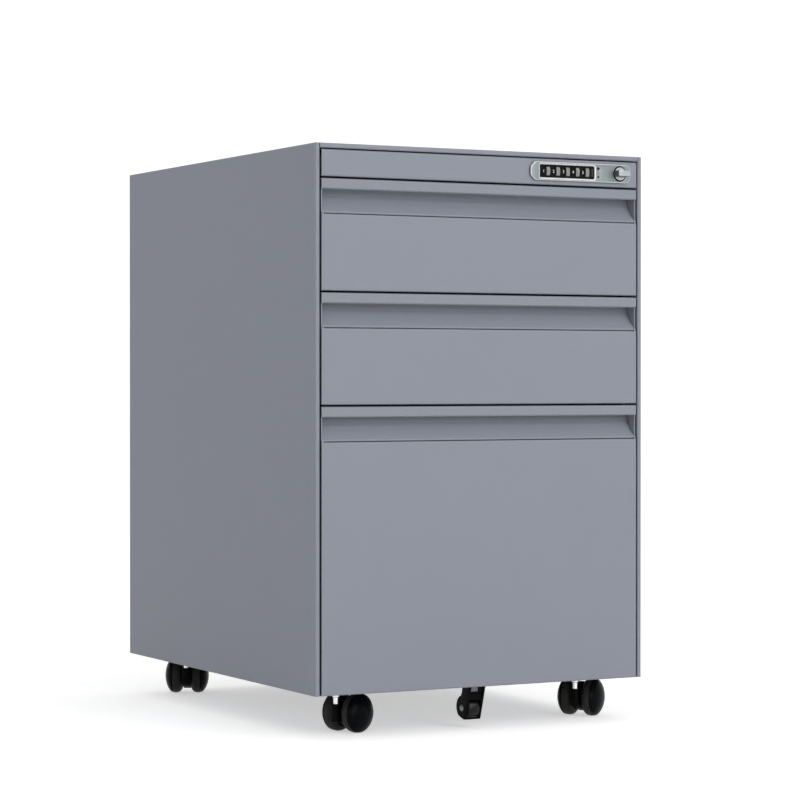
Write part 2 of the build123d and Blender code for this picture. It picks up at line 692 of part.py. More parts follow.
def caster_hood():
    """Hub between the wheels, with a fender over it and the swivel socket ahead."""
    def at(radius, angle):
        turn = radians(angle)
        return (CASTER_TRAIL + radius * cos(turn), WHEEL_RADIUS + radius * sin(turn))

    fender = [at(FENDER_RADIUS, angle) for angle in range(140, -80, -24)]
    hub_edge = [at(HUB_RADIUS, angle) for angle in (-90, -120, -150)]
    socket = [(0, BOSS_BOTTOM), (0, HOOD_TOP)]
    plate = make_face(Polyline(*fender, *hub_edge, *socket, close=True))
    hub = extrude(Plane.YZ.offset(-HOOD_HALF) * plate, amount=2 * HOOD_HALF)
    boss = prism("Z", (0, 0, BOSS_BOTTOM), HOOD_TOP - BOSS_BOTTOM, BOSS_RADIUS)
    reach = (-2 * BOSS_RADIUS, 2 * BOSS_RADIUS)
    hub += boss & block((-HOOD_HALF, HOOD_HALF), reach, (0, HOOD_TOP))
    hub -= rod("Z", (0, 0, SOCKET_BOTTOM), HOOD_TOP, STEM_RADIUS + RUNNING_FIT)
    axle_start = (-HOOD_HALF - PAST, CASTER_TRAIL, WHEEL_RADIUS)
    return hub - prism("X", axle_start, 2 * (HOOD_HALF + PAST), AXLE_RADIUS)


def caster_axle():
    return rod("X", (-AXLE_HALF, CASTER_TRAIL, WHEEL_RADIUS), 2 * AXLE_HALF, AXLE_RADIUS)


def caster_wheel():
    """Right-hand wheel: rounded flank, tread, shoulder and a domed outer face."""
    start = WHEEL_PROFILE[0][0]
    wheel = turned(WHEEL_PROFILE, WHEEL_SIDES)
    wheel -= rod("X", (start, 0, 0), BORE_END - start, AXLE_RADIUS + RUNNING_FIT)
    return Pos(0, CASTER_TRAIL, WHEEL_RADIUS) * wheel


def caster_stem():
    """Plain shank that runs in the hood, under a collar."""
    shank = rod("Z", (0, 0, STEM_BOTTOM), COLLAR_Z[0] - STEM_BOTTOM, STEM_RADIUS)
    return shank + prism("Z", (0, 0, COLLAR_Z[0]), COLLAR_Z[1] - COLLAR_Z[0], COLLAR_RADIUS, sides=16)


def caster_nut():
    """Hexagon of the stem, tight under the base."""
    return prism("Z", (0, 0, COLLAR_Z[1]), UNDERSIDE - COLLAR_Z[1], NUT_HALF, sides=6)


def caster_plates():
    """Stiffeners welded inside the base over each stem."""
    bottom = UNDERSIDE + BASE_SHEET
    plates = []
    for x, y, _ in CASTERS.values():
        across = (x - PLATE_HALF, x + PLATE_HALF)
        plates.append(block(across, (y - PLATE_HALF, y + PLATE_HALF), (bottom, bottom + PLATE_SHEET)))
    return group(plates)


# ---------------------------------------------------------------- write every node
def main():
    right = side_panel()
    save("side_panel_right", right)
    save("side_panel_left", mirror(right, about=Plane.YZ))
    save("top_panel", top_panel())
    save("back_panel", back_panel())
    save("base_panel", base_panel())
    save("lock_rail", lock_rail())
    save("slide_uprights", slide_uprights())

    catches = []
    slide_levels = []
    drawers = {
        "top": (TOP_DRAWER, BOX_TRAY_HEIGHT, SLIDE_BELOW_TRAY_TOP),
        "middle": (MIDDLE_DRAWER, BOX_TRAY_HEIGHT, SLIDE_BELOW_TRAY_TOP),
        "file": (FILE_DRAWER, FILE_TRAY_HEIGHT, FILE_SLIDE_BELOW_TRAY_TOP),
    }
    for name, (heights, tray_height, slide_drop) in drawers.items():
        tray_top = heights[1] - TRAY_BELOW_FRONT_TOP
        catch_z = tray_top - CATCH_BELOW_TRAY_TOP
        slide_z = tray_top - slide_drop
        catches.append(catch_z)
        slide_levels.append(slide_z)
        save(f"{name}_drawer_front", drawer_front(heights))
        save(f"{name}_drawer_tray", tray(tray_top - tray_height, tray_top))
        save(f"{name}_lock_catch", lock_catch(catch_z))
        save(f"{name}_middle_slides", middle_slides(slide_z))
        save(f"{name}_drawer_slides", drawer_slides(slide_z))
        if name == "file":
            save("hanging_rails", hanging_rails(tray_top))
            save("anti_tip_mount", anti_tip_mount(tray_top - tray_height))

    save("cabinet_slides", cabinet_slides(slide_levels))
    save("anti_tip_fork", anti_tip_fork())
    save("anti_tip_axle", anti_tip_axle())
    save("anti_tip_roller", anti_tip_roller())

    save("lock_bezel", lock_bezel())
    save("lock_window", lock_window())
    save("lock_housing", lock_housing())
    save("dial_shaft", dial_shaft())
    for index, x in enumerate(dial_positions(), start=1):
        save(f"dial_{index}", dial(x))
    save("lock_knob", lock_knob())
    save("lock_cam", lock_cam())
    save("lock_bar", lock_bar(catches))
    save("bar_guides", bar_guides([catch + 8 for catch in catches]))

    hood = caster_hood()
    axle = caster_axle()
    wheel = caster_wheel()
    for name in CASTERS:
        save(f"caster_{name}_hood", placed(name, hood))
        save(f"caster_{name}_axle", placed(name, axle))
        save(f"caster_{name}_wheel_a", placed(name, wheel))
        save(f"caster_{name}_wheel_b", placed(name, mirror(wheel, about=Plane.YZ)))
    save("caster_stems", group([placed(name, caster_stem()) for name in CASTERS]))
    save("caster_nuts", group([placed(name, caster_nut()) for name in CASTERS]))
    save("caster_plates", caster_plates())


main()
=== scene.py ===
import json
import math

import bmesh
import bpy
from mathutils import Matrix, Vector


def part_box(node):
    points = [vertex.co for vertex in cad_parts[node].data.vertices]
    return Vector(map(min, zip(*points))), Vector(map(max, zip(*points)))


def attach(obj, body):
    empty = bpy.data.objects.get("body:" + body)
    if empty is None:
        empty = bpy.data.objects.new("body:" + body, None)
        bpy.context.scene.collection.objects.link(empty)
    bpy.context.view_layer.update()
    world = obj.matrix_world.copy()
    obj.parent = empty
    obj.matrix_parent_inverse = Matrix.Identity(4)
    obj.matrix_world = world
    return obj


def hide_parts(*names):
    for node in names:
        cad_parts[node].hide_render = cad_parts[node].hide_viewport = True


MM = 0.001

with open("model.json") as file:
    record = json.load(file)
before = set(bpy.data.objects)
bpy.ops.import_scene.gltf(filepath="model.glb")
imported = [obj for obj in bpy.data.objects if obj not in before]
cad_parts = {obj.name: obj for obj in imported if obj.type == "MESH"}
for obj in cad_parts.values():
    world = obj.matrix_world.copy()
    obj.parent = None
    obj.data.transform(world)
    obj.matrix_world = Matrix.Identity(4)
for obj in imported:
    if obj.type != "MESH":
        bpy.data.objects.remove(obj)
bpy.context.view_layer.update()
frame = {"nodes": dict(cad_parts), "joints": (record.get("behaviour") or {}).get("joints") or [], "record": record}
nodes = frame["nodes"]
joints = {joint["name"]: joint for joint in frame["joints"]}
slot_of = {part["node"]: part["material_slot"] for part in frame["record"]["subparts"]}


# ---------------------------------------------------------------- shader helpers
EDGE_SAMPLES = 6
GAP_SAMPLES = 8
# Cosine between the eased and the flat normal, on a full edge and on a flat stretch.
EDGE_COSINES = (0.88, 0.995)
# Share of the nearby directions left open, deep in a gap and on an open surface.
GAP_OPENINGS = (0.25, 0.72)


class Shading:
    """A material being built around its Principled shader."""

    def __init__(self, name, **sockets):
        self.material = bpy.data.materials.new(name)
        self.material.use_nodes = True
        self.tree = self.material.node_tree
        self.shader = self.tree.nodes["Principled BSDF"]
        for socket, value in sockets.items():
            self.shader.inputs[socket.replace("_", " ")].default_value = value

    def node(self, kind, inputs=(), **settings):
        made = self.tree.nodes.new(kind)
        for key, value in settings.items():
            setattr(made, key, value)
        for key, value in dict(inputs).items():
            if isinstance(value, bpy.types.NodeSocket):
                self.tree.links.new(value, made.inputs[key])
            else:
                made.inputs[key].default_value = value
        return made

    def place(self):
        """The piece's own coordinates, in metres."""
        return self.node("ShaderNodeTexCoord").outputs["Object"]

    def noise(self, scale, detail=2.0, roughness=0.5, vector=None):
        inputs = {"Vector": vector or self.place(), "Scale": scale, "Detail": detail, "Roughness": roughness}
        return self.node("ShaderNodeTexNoise", inputs).outputs["Fac"]

    def spread(self, value, low, high, start=0.0, end=1.0):
        """Value from start..end spread over low..high."""
        inputs = {"Value": value, "From Min": start, "From Max": end, "To Min": low, "To Max": high}
        return self.node("ShaderNodeMapRange", inputs).outputs["Result"]

    def math(self, operation, first, second):
        return self.node("ShaderNodeMath", {0: first, 1: second}, operation=operation).outputs["Value"]

    def blend(self, share, first, second):
        mixer = self.node("ShaderNodeMix", data_type="RGBA")
        for socket, value in ((mixer.inputs[0], share), (mixer.inputs[6], first), (mixer.inputs[7], second)):
            if isinstance(value, bpy.types.NodeSocket):
                self.tree.links.new(value, socket)
            else:
                socket.default_value = value
        return mixer.outputs[2]

    def rounded(self, radius):
        """Normal of the surface with its edges eased by radius."""
        return self.node("ShaderNodeBevel", {"Radius": radius}, samples=EDGE_SAMPLES).outputs["Normal"]

    def edges(self, rounded):
        """1 on folds and edges, 0 on flat stretches."""
        flat = self.node("ShaderNodeNewGeometry").outputs["Normal"]
        likeness = self.node("ShaderNodeVectorMath", {0: rounded, 1: flat}, operation="DOT_PRODUCT")
        return self.spread(likeness.outputs["Value"], 1.0, 0.0, *EDGE_COSINES)

    def crevices(self, reach):
        """Mask of painted shade: 1 deep in narrow gaps, 0 on open surfaces, looking as far as reach."""
        opening = self.node("ShaderNodeAmbientOcclusion", {"Distance": reach}, samples=GAP_SAMPLES)
        return self.spread(opening.outputs["AO"], 1.0, 0.0, *GAP_OPENINGS)

    def bump(self, height, distance, strength, below):
        """Normal of the surface raised by height, on top of the normal below."""
        inputs = {"Height": height, "Distance": distance, "Strength": strength, "Normal": below}
        return self.node("ShaderNodeBump", inputs).outputs["Normal"]

    def drive(self, socket, value):
        self.tree.links.new(value, self.shader.inputs[socket])


def shade(colour, factor):
    return tuple(min(1.0, channel * factor) for channel in colour[:3]) + (1.0,)


def grey(value):
    return (value, value, value, 1.0)


# ---------------------------------------------------------------- materials
PAINT = (0.283, 0.301, 0.352, 1.0)
# Patterns are per metre, tones are shares of the colour, and each bump is a (depth, strength) pair.
FINE_GRAIN = 1500.0
ORANGE_PEEL = 330.0
PATCHES = 7.0
PATCH_TONES = (0.985, 1.015)
SPECKLE_TONE = 1.35
SPECKLE_SHARE = 0.06
FOLD_RADIUS = 1.1 * MM
# Paler tone of folds and edges, and its share: a painted highlight.
FOLD_HIGHLIGHT_TONE = 1.5
FOLD_HIGHLIGHT_SHARE = 0.8
# Reach and near-black tone of the painted shade deep in narrow gaps.
GAP_REACH = 3.5 * MM
GAP_SHADE_TONE = 0.10
SATIN = (0.46, 0.58)
PEEL_BUMP = (0.05 * MM, 0.5)
GRAIN_BUMP = (0.02 * MM, 0.6)
# Edge radius of plated steel and moulded plastic, then how each one's surface varies.
EASED = 0.3 * MM
ROLLING_LINES = 700.0
LINE_BUMP = (0.01 * MM, 0.4)
LINE_GLOSS = (-0.06, 0.08)
CLOUDS = 60.0
CLOUD_TONES = (0.88, 1.08)
# Paler tone of plated edges, and its share: a painted highlight.
EDGE_HIGHLIGHT_TONE = 1.3
EDGE_HIGHLIGHT_SHARE = 0.4
SCUFFS = 180.0
SCUFF_SHARES = (0.35, 0.75)
SCUFF_GLOSS = (-0.05, 0.08)
MOULD_BUMP = (0.012 * MM, 0.5)


def powder_coat(name, colour):
    """Fine-textured satin powder coat, with a paler tone on folded edges as a painted highlight and a near-black
    tone in the gaps as painted shade.
    """
    coat = Shading(name, IOR=1.45, Specular_IOR_Level=0.3)
    patches = coat.noise(PATCHES, detail=3.0)
    speckle = coat.noise(FINE_GRAIN, detail=1.0)
    flat = coat.blend(patches, *(shade(colour, tone) for tone in PATCH_TONES))
    flat = coat.blend(coat.spread(speckle, 0.0, SPECKLE_SHARE), flat, shade(colour, SPECKLE_TONE))
    eased = coat.rounded(FOLD_RADIUS)
    # Paler colour on folds and edges is a painted highlight.
    fold_highlight = coat.math("MULTIPLY", coat.edges(eased), FOLD_HIGHLIGHT_SHARE)
    tone = coat.blend(fold_highlight, flat, shade(colour, FOLD_HIGHLIGHT_TONE))
    # Near-black colour deep in narrow gaps is painted shade.
    coat.drive("Base Color", coat.blend(coat.crevices(GAP_REACH), tone, shade(colour, GAP_SHADE_TONE)))
    coat.drive("Roughness", coat.spread(speckle, *SATIN))
    peel = coat.bump(coat.noise(ORANGE_PEEL), *PEEL_BUMP, below=eased)
    coat.drive("Normal", coat.bump(speckle, *GRAIN_BUMP, below=peel))
    return coat.material


def plated_steel(name, colour, roughness, streak=(1.0, 1.0, 1.0), metallic=1.0):
    """Zinc or nickel plate: slight clouding, fine lines that streak can stretch along an axis, and a paler tone on
    the edges as a painted highlight.
    """
    plate_coat = Shading(name, Metallic=metallic)
    stretched = plate_coat.node("ShaderNodeMapping", {"Vector": plate_coat.place(), "Scale": streak})
    lines = plate_coat.noise(ROLLING_LINES, vector=stretched.outputs["Vector"])
    clouds = plate_coat.noise(CLOUDS, detail=3.0)
    tone = plate_coat.blend(clouds, *(shade(colour, share) for share in CLOUD_TONES))
    eased = plate_coat.rounded(EASED)
    # Paler colour on the plate's edges is a painted highlight.
    edge_highlight = plate_coat.math("MULTIPLY", plate_coat.edges(eased), EDGE_HIGHLIGHT_SHARE)
    plate_coat.drive("Base Color", plate_coat.blend(edge_highlight, tone, shade(colour, EDGE_HIGHLIGHT_TONE)))
    plate_coat.drive("Roughness", plate_coat.spread(lines, *(roughness + change for change in LINE_GLOSS)))
    plate_coat.drive("Normal", plate_coat.bump(lines, *LINE_BUMP, below=eased))
    return plate_coat.material


def moulded(name, colour, roughness, grain, sheen=0.25, rub=2.2):
    """Moulded plastic: faint spark-eroded grain, scuffed a little paler on its edges."""
    plastic = Shading(name, Specular_IOR_Level=sheen)
    fine = plastic.noise(grain)
    scuffs = plastic.noise(SCUFFS, detail=4.0, roughness=0.7)
    eased = plastic.rounded(EASED)
    rubbed = plastic.math("MULTIPLY", plastic.edges(eased), plastic.spread(scuffs, *SCUFF_SHARES))
    plastic.drive("Base Color", plastic.blend(rubbed, colour, shade(colour, rub)))
    plastic.drive("Roughness", plastic.spread(scuffs, *(roughness + change for change in SCUFF_GLOSS)))
    plastic.drive("Normal", plastic.bump(fine, *MOULD_BUMP, below=eased))
    return plastic.material


ALONG_Y = (1.0, 0.04, 1.0)
ZINC = plated_steel("bright_zinc", (0.80, 0.80, 0.79, 1), 0.22)
BLACK_OXIDE = plated_steel("black_oxide", (0.02, 0.02, 0.021, 1), 0.4, metallic=0.6)
CASTING = plated_steel("satin_nickel", (0.24, 0.275, 0.285, 1), 0.36, metallic=0.35)
# Paler copy of the bezel's plate for its front chamfers: a painted highlight.
CHAMFER_HIGHLIGHT = plated_steel("chamfer_painted_highlight", (0.62, 0.65, 0.65, 1), 0.25, metallic=0.3)
ROLLER_GLOSS = moulded("roller_gloss", (0.004, 0.004, 0.004, 1), 0.22, 700.0, sheen=0.22, rub=1.5)
# Darker copy of the knob metal for the grip's side walls: painted shade.
KNOB_SIDE_SHADE = plated_steel("knob_side_painted_shade", (0.11, 0.114, 0.112, 1), 0.32, metallic=0.4)
# Darker copy of the axle steel for the fork's rivet: painted shade.
RIVET_SHADE = plated_steel("rivet_painted_shade", (0.30, 0.32, 0.32, 1), 0.35, metallic=0.6)
# Darker copy of the fastener zinc for the strap under the drawer: painted shade.
STRAP_SHADE = plated_steel("strap_zinc_painted_shade", (0.20, 0.19, 0.22, 1), 0.4, metallic=0.5)
KNOB_METAL = plated_steel("satin_knob", (0.42, 0.45, 0.46, 1), 0.24, metallic=0.75)
WINDOW_BLACK = moulded("window_insert", (0.004, 0.004, 0.0045, 1), 0.3, 1600.0, sheen=0.07)
DIAL = moulded("dial_plastic", (0.32, 0.32, 0.315, 1), 0.36, 1300.0, sheen=0.4, rub=1.3)
CAP = moulded("caster_cap", (0.0028, 0.0034, 0.0042, 1), 0.24, 1100.0, sheen=0.04)
TREAD = moulded("caster_tread", (0.030, 0.031, 0.026, 1), 0.46, 700.0, sheen=0.12, rub=1.5)
HOOD = moulded("hood_nylon", (0.0032, 0.0032, 0.0032, 1), 0.44, 800.0, sheen=0.04)
AXLE = plated_steel("plain_axle", (0.55, 0.56, 0.57, 1), 0.3)
CAD_FINISH = {
    "body_paint": powder_coat("body_powder_coat", PAINT),
    "front_paint": powder_coat("front_powder_coat", PAINT),
    "slide_steel": plated_steel("zinc_plated_slide", (0.44, 0.45, 0.47, 1), 0.34, ALONG_Y),
    "fastener_steel": ZINC,
    "nut_black": BLACK_OXIDE,
    "lock_casting": CASTING,
    "lock_case": moulded("lock_case_plastic", (0.010, 0.010, 0.011, 1), 0.5, 900.0, sheen=0.1),
    "window_black": WINDOW_BLACK,
    "dial_silver": DIAL,
    "knob_metal": KNOB_METAL,
    "caster_black": CAP,
    "hood_black": HOOD,
    "axle_steel": AXLE,
}
for name, part in nodes.items():
    part.data.materials.clear()
    # The strap under the drawer takes the darker zinc as painted shade.
    part.data.materials.append(STRAP_SHADE if name == "anti_tip_mount" else CAD_FINISH[slot_of[name]])

# ---------------------------------------------------------------- mesh helpers
# Shapes are made in millimetres around their own axes, then moved by a placing matrix.
ROUND = 64
# Handle length of the cubic curve that comes nearest to a quarter circle.
FILLET = 0.5523
MERGE = 1e-4
EDGE_STEPS = 4
# An inset corner moves at most one over this times the distance.
SHARPEST = 0.3
# Folds sharper than this are shaded as edges.
CREASE = math.radians(32)
# Turns a plate's thickness from local Z to local X.
SIDEWAYS = Matrix(((0, 0, 1, 0), (1, 0, 0, 0), (0, 1, 0, 0), (0, 0, 0, 1)))


def placing(origin, ahead, up=(0.0, 0.0, 1.0)):
    """Matrix that puts local Z along ahead and local Y near up, and turns mm into metres."""
    z_axis = Vector(ahead).normalized()
    x_axis = Vector(up).cross(z_axis).normalized()
    y_axis = z_axis.cross(x_axis)
    turn = Matrix((x_axis, y_axis, z_axis)).transposed().to_4x4()
    return Matrix.Translation(origin) @ turn @ Matrix.Scale(MM, 4)


def merged(*shapes):
    """One bmesh out of several."""
    whole = bmesh.new()
    for shape in shapes:
        copies = {vertex: whole.verts.new(vertex.co) for vertex in shape.verts}
        for face in shape.faces:
            copy = whole.faces.new([copies[vertex] for vertex in face.verts])
            copy.material_index = face.material_index
        shape.free()
    return whole


def moved(shape, matrix):
    shape.transform(matrix)
    return shape


def arc(centre, radius, start, end, steps):
    """Points on an arc between two angles in degrees."""
    angles = [math.radians(start + (end - start) * step / steps) for step in range(steps + 1)]
    return [(centre[0] + radius * math.cos(a), centre[1] + radius * math.sin(a)) for a in angles]


def circle(centre, radius, steps=40):
    return arc(centre, radius, 0, 360 - 360 / steps, steps - 1)


def softened(corners, steps=5):
    """Closed outline through (x, y, cut) corners, each rounded off over its cut."""
    line = []
    for index, (x, y, cut) in enumerate(corners):
        corner = Vector((x, y))
        if not cut:
            line.append(corner)
            continue
        before = Vector(corners[index - 1][:2]) - corner
        after = Vector(corners[(index + 1) % len(corners)][:2]) - corner
        start = corner + before.normalized() * cut
        end = corner + after.normalized() * cut
        near = start.lerp(corner, FILLET)
        far = end.lerp(corner, FILLET)
        for step in range(steps + 1):
            t = step / steps
            rest = 1 - t
            line.append(start * rest**3 + near * 3 * t * rest**2 + far * 3 * t**2 * rest + end * t**3)
    return line


def rectangle(x, y, cut):
    """Rounded rectangle between (low, high) pairs."""
    return softened([(x[0], y[0], cut), (x[1], y[0], cut), (x[1], y[1], cut), (x[0], y[1], cut)])


def flowing(points, steps=3):
    """Smooth line through points, with the first and last kept as ends."""
    ends = [points[0], *points, points[-1]]
    line = []
    for before, here, there, after in zip(ends, ends[1:], ends[2:], ends[3:]):
        a, b, c, d = (Vector(point) for point in (before, here, there, after))
        for step in range(steps):
            t = step / steps
            line.append(0.5 * ((2 * b) + (c - a) * t + (2 * a - 5 * b + 4 * c - d) * t**2
                               + (3 * b - a - 3 * c + d) * t**3))
    return line + [Vector(points[-1])]


def spun(profile, bands=(), sides=ROUND):
    """Solid of revolution around local Z from (along, radius) points.

    bands are (along value, least radius, material index): what lies beyond both takes that material.
    """
    shape = bmesh.new()
    rings = []
    for along, radius in profile:
        if radius < MERGE:
            rings.append([shape.verts.new((0, 0, along))])
            continue
        angles = [2 * math.pi * side / sides for side in range(sides)]
        rings.append([shape.verts.new((radius * math.cos(a), radius * math.sin(a), along)) for a in angles])
    for ring, (near, far) in enumerate(zip(rings, rings[1:])):
        middle = (profile[ring][0] + profile[ring + 1][0]) / 2
        outer = min(profile[ring][1], profile[ring + 1][1])
        index = 0
        for start, least, chosen in bands:
            if middle > start and outer >= least:
                index = chosen
        for side in range(sides):
            after = side + 1
            corners = [near[side % len(near)], near[after % len(near)]]
            corners += [far[after % len(far)], far[side % len(far)]]
            face = shape.faces.new(list(dict.fromkeys(corners)))
            face.material_index = index
    bmesh.ops.remove_doubles(shape, verts=shape.verts[:], dist=MERGE)
    bmesh.ops.recalc_face_normals(shape, faces=shape.faces[:])
    return shape


def inset(line, distance):
    """Outline moved towards its left-hand side, which is the material's side."""
    points = [Vector(point) for point in line]
    result = []
    for index, here in enumerate(points):
        entering = (here - points[index - 1]).normalized()
        leaving = (points[(index + 1) % len(points)] - here).normalized()
        normal = Vector((-entering.y - leaving.y, entering.x + leaving.x)).normalized()
        reach = max(SHARPEST, normal.x * -entering.y + normal.y * entering.x)
        result.append(here + normal * distance / reach)
    return result


def plate(outline, low, high, bevel, holes=(), flat_back=False):
    """Flat plate with rounded edges, from low to high along local Z, with holes through it.

    bevel is a size, or a (width, depth) pair for the outline and each hole. Front edges take the
    second material.
    """
    shape = bmesh.new()
    first, last = [], []
    for count, ring in enumerate([outline, *holes]):
        area = sum(a[0] * b[1] - b[0] * a[1] for a, b in zip(ring, [*ring[1:], ring[0]]))
        line = list(ring if (area > 0) == (count == 0) else ring[::-1])
        width, depth = bevel[count] if isinstance(bevel, list) else (bevel, bevel)
        angles = [math.radians(90 * step / (EDGE_STEPS - 1)) for step in range(EDGE_STEPS)]
        quarter = [(width * (1 - math.cos(a)), depth * (1 - math.sin(a))) for a in angles]
        back = [(low, 0.0)] if flat_back else [(low + rise, inwards) for inwards, rise in quarter[::-1]]
        levels = back + [(high - rise, inwards) for inwards, rise in quarter]
        rings = []
        for level, inwards in levels:
            rings.append([shape.verts.new((x, y, level)) for x, y in inset(line, inwards)])
        for level, (near, far) in enumerate(zip(rings, rings[1:])):
            for step in range(len(near)):
                face = shape.faces.new((near[step - 1], near[step], far[step], far[step - 1]))
                face.material_index = int(level >= len(rings) - EDGE_STEPS)
        first.append(rings[0])
        last.append(rings[-1])
    for loops in (first, last):
        pairs = [(loop[step - 1], loop[step]) for loop in loops for step in range(len(loop))]
        edges = [shape.edges.get(pair) for pair in pairs]
        bmesh.ops.triangle_fill(shape, use_beauty=True, edges=edges)
    bmesh.ops.recalc_face_normals(shape, faces=shape.faces[:])
    return shape


def lofted(rings):
    """Closed solid through (height along local Z, outline) rings of equal length."""
    shape = bmesh.new()
    rows = [[shape.verts.new((x, y, height)) for x, y in outline] for height, outline in rings]
    for near, far in zip(rows, rows[1:]):
        for step in range(len(near)):
            shape.faces.new((near[step - 1], near[step], far[step], far[step - 1]))
    shape.faces.new(rows[0])
    shape.faces.new(rows[-1])
    bmesh.ops.recalc_face_normals(shape, faces=shape.faces[:])
    return shape


def put(name, shape, body, finishes, replaced=()):
    """New piece from a bmesh in metres: its finishes, body and the CAD nodes it stands for."""
    mesh = bpy.data.meshes.new(name)
    shape.to_mesh(mesh)
    shape.free()
    for finish in finishes:
        mesh.materials.append(finish)
    mesh.shade_smooth()
    mesh.set_sharp_from_angle(angle=CREASE)
    made = bpy.data.objects.new(name, mesh)
    bpy.context.scene.collection.objects.link(made)
    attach(made, body)
    for node in replaced:
        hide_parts(node)
    return made


# ---------------------------------------------------------------- casters
# A wheel's section as (out from the caster's middle, radius): bore, flank and tread, groove, cap.
BORE = [(20.5, 0.0), (20.5, 3.07), (5.0, 3.07), (5.0, 12.6), (5.5, 13.2), (5.5, 14.2), (5.0, 14.8)]
FLANK = [(5.0, 15.2), (6.2, 17.4), (8.4, 19.6), (11.4, 20.5), (13.6, 20.5), (16.0, 20.3)]
GROOVE = [(16.5, 19.7), (16.9, 19.5), (17.1, 19.9), (17.5, 20.0)]
DOME = [(18.2, 19.5), (19.7, 18.1), (21.6, 15.4), (23.4, 11.6), (24.6, 7.4), (25.2, 3.4), (25.3, 0.0)]
# Where the tread's material starts and ends, and the least radius that takes it.
TREAD_FROM = (5.0, 15.0, 1)
GROOVE_FROM = (16.0, 15.0, 0)
HUB_HALF = 4.3
# Fender over the axle and round its far side, and hub under it on the swivel's side: radius, first
# and last angle, steps.
FENDER = (16.5, 140, -76, 36)
HUB = (14.2, -92, -152, 12)
HOOD_EDGE = 0.7
HOOD_TOP = 30.5
BOSS_RADIUS = 5.6
BOSS_BOTTOM = 12.0
BOSS_EDGE = 0.6
STEM_RADIUS = 2.9
STEM_AIR = 0.15
SOCKET = STEM_RADIUS + 0.3
# Shank from its tip up, with a snap groove, as (height, radius).
SHANK = [(14.3, 0.0), (14.3, 2.2), (15.0, STEM_RADIUS), (26.0, STEM_RADIUS), (26.3, 2.5), (27.5, 2.5),
         (27.8, STEM_RADIUS)]
# Collar under the nut: bottom, top, radius.
COLLAR = (37.5, 41.0, 3.9)
COLLAR_EDGE = 0.5
NUT_HALF = 6.5
NUT_EDGE = 0.6
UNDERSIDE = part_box("base_panel")[0].z / MM


def wheel_shape():
    profile = [*BORE, *flowing(FLANK), *GROOVE, *flowing(DOME)]
    return spun(profile, bands=(TREAD_FROM, GROOVE_FROM))


def hood_shape(trail, axle_z):
    """Fender and hub as one rounded plate across local X, and the swivel boss round the stem."""
    centre = (trail, axle_z)
    outline = arc(centre, *FENDER) + arc(centre, *HUB)
    outline += [(SOCKET, BOSS_BOTTOM), (SOCKET, HOOD_TOP)]
    hub = plate(outline, -HUB_HALF, HUB_HALF, HOOD_EDGE)
    boss_line = [(max(-HUB_HALF, min(HUB_HALF, x)), y) for x, y in circle((0, 0), BOSS_RADIUS, 72)]
    bore = circle((0, 0), STEM_RADIUS + STEM_AIR, 36)
    boss = plate(boss_line, BOSS_BOTTOM, HOOD_TOP, BOSS_EDGE, holes=[bore])
    return merged(moved(hub, SIDEWAYS), boss)


def stem_shape():
    """Shank with its snap groove, and the rounded collar under the nut."""
    low, high, collar = COLLAR
    edge = COLLAR_EDGE
    return spun([*SHANK, (low, STEM_RADIUS), (low, collar - edge), (low + edge, collar),
                 (high - edge, collar), (high, collar - edge), (high, 0.0)])


def nut_shape():
    corners = arc((0, 0), NUT_HALF / math.cos(math.radians(30)), 0, 300, 5)
    return plate(corners, COLLAR[1], UNDERSIDE, NUT_EDGE)


def add_casters():
    stems, nuts = [], []
    for caster in ("front_left", "front_right", "rear_left", "rear_right"):
        body = f"caster_{caster}"
        pivot = Vector(joints[f"{body}_swivel"]["pos_m"]) * Vector((1, 1, 0))
        low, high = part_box(f"{body}_axle")
        axle = (low + high) / 2
        ahead = (axle - pivot) * Vector((1, 1, 0))
        across = Vector(joints[f"{body}_wheel_a_spin"]["axis"])
        upright = placing(pivot, (0, 0, 1), up=ahead)
        shape = moved(hood_shape(ahead.length / MM, axle.z / MM), upright)
        put(f"{body}_hood_moulding", shape, body, [HOOD] * 2, [f"{body}_hood"])
        stems.append(moved(stem_shape(), upright))
        nuts.append(moved(nut_shape(), upright))
        for side in ("a", "b"):
            node = f"{body}_wheel_{side}"
            wheel_low, wheel_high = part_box(node)
            outward = across if ((wheel_low + wheel_high) / 2 - axle).dot(across) > 0 else -across
            wheel = moved(wheel_shape(), placing(axle, outward))
            put(f"{node}_moulding", wheel, node, [CAP, TREAD], [node])
    put("caster_stems_turned", merged(*stems), "cabinet", [ZINC], ["caster_stems"])
    put("caster_nuts_hex", merged(*nuts), "cabinet", [BLACK_OXIDE] * 2, ["caster_nuts"])


add_casters()

# ---------------------------------------------------------------- combination lock
RAIL_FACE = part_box("lock_rail")[0].y / MM
LOCK_Z = joints["lock_knob_turn"]["pos_m"][2] / MM
KNOB_X = joints["lock_knob_turn"]["pos_m"][0] / MM
DIALS = [name for name in sorted(nodes) if name.startswith("dial_") and name != "dial_shaft"]
DIAL_X = [joints[f"{dial}_turn"]["pos_m"][0] / MM for dial in DIALS]
DIAL_VALUES = 10
DIAL_STEP = 360 / DIAL_VALUES
DIAL_HALF = 2.1
# Dial's outline: half the angle of each flat, radius at its ends and in the notches, rounding of both.
DIAL_FLAT = 14.0
DIAL_RADIUS = 8.8
DIAL_NOTCH = 8.4
FLAT_CUT = 0.7
NOTCH_CUT = 0.35
DIAL_RIM = 0.5
SHAFT_BORE = 1.57
BEZEL_PROUD = 3.0
BEZEL_BEVEL = 0.9
# Cut of the two corners at the left end, and rounding of the corners at each end.
BEZEL_CLIP = 5.3
BEZEL_CORNERS = (1.0, 6.0)
# Round holes: place along the rail, height over its middle, radius.
HOLES = ((138.5, 4.5, 1.7), (138.5, -4.4, 1.25))
HOLE_STEPS = 24
